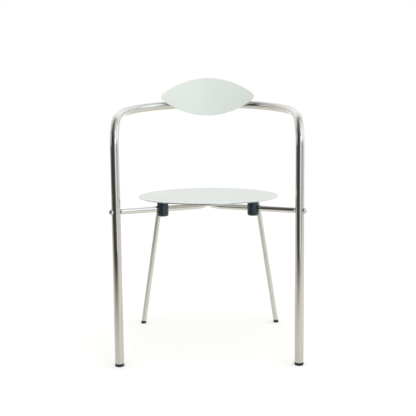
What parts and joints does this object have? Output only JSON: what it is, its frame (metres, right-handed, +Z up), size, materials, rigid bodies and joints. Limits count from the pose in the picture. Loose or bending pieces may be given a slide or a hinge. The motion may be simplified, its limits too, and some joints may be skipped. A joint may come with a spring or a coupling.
{
  "type": "patio chair",
  "caption": "Armchair for the patio with a bent tube frame as front legs, arms and back rail, a round seat plate, a leaf-shaped back plate and splayed thin rear legs.",
  "frame": {"origin": "on the floor under the middle of the chair's bounding box", "axes": "+Z up, -Y the way the chair faces, +X to the right as seen from in front"},
  "size_m": [0.545, 0.474, 0.8125],
  "materials": {
    "polished_aluminium": "polished",
    "turned_aluminium": "turned",
    "plate_paint": "satin powder coat",
    "mount_plastic": "moulded",
    "foot_rubber": "moulded",
    "polished_steel": "polished",
    "plain_steel": "zinc plated"
  },
  "bodies": {
    "root": {"main_frame_tube": "polished_aluminium", "underframe_tube_left": "polished_aluminium", "underframe_tube_right": "polished_aluminium", "seat_plate": "plate_paint", "back_plate": "plate_paint", "seat_mount_front_left": "mount_plastic", "seat_mount_front_right": "mount_plastic", "seat_mount_rear_left": "mount_plastic", "seat_mount_rear_right": "mount_plastic", "back_pad_left": "mount_plastic", "back_pad_right": "mount_plastic", "centre_spacer": "mount_plastic", "front_foot_left": "foot_rubber", "front_foot_right": "foot_rubber", "rear_foot_left": "foot_rubber", "rear_foot_right": "foot_rubber", "leg_cap_nut_left": "polished_steel", "leg_cap_nut_right": "polished_steel", "back_cap_nuts": "polished_steel", "centre_bolt": "polished_steel", "centre_nut": "polished_steel", "leg_stud_left": "plain_steel", "leg_stud_right": "plain_steel", "seat_studs": "plain_steel", "seat_washers": "plain_steel", "seat_nuts": "plain_steel", "back_studs": "plain_steel", "tube_end_plug_left": "turned_aluminium", "tube_end_plug_right": "turned_aluminium"}
  },
  "joints": []
}
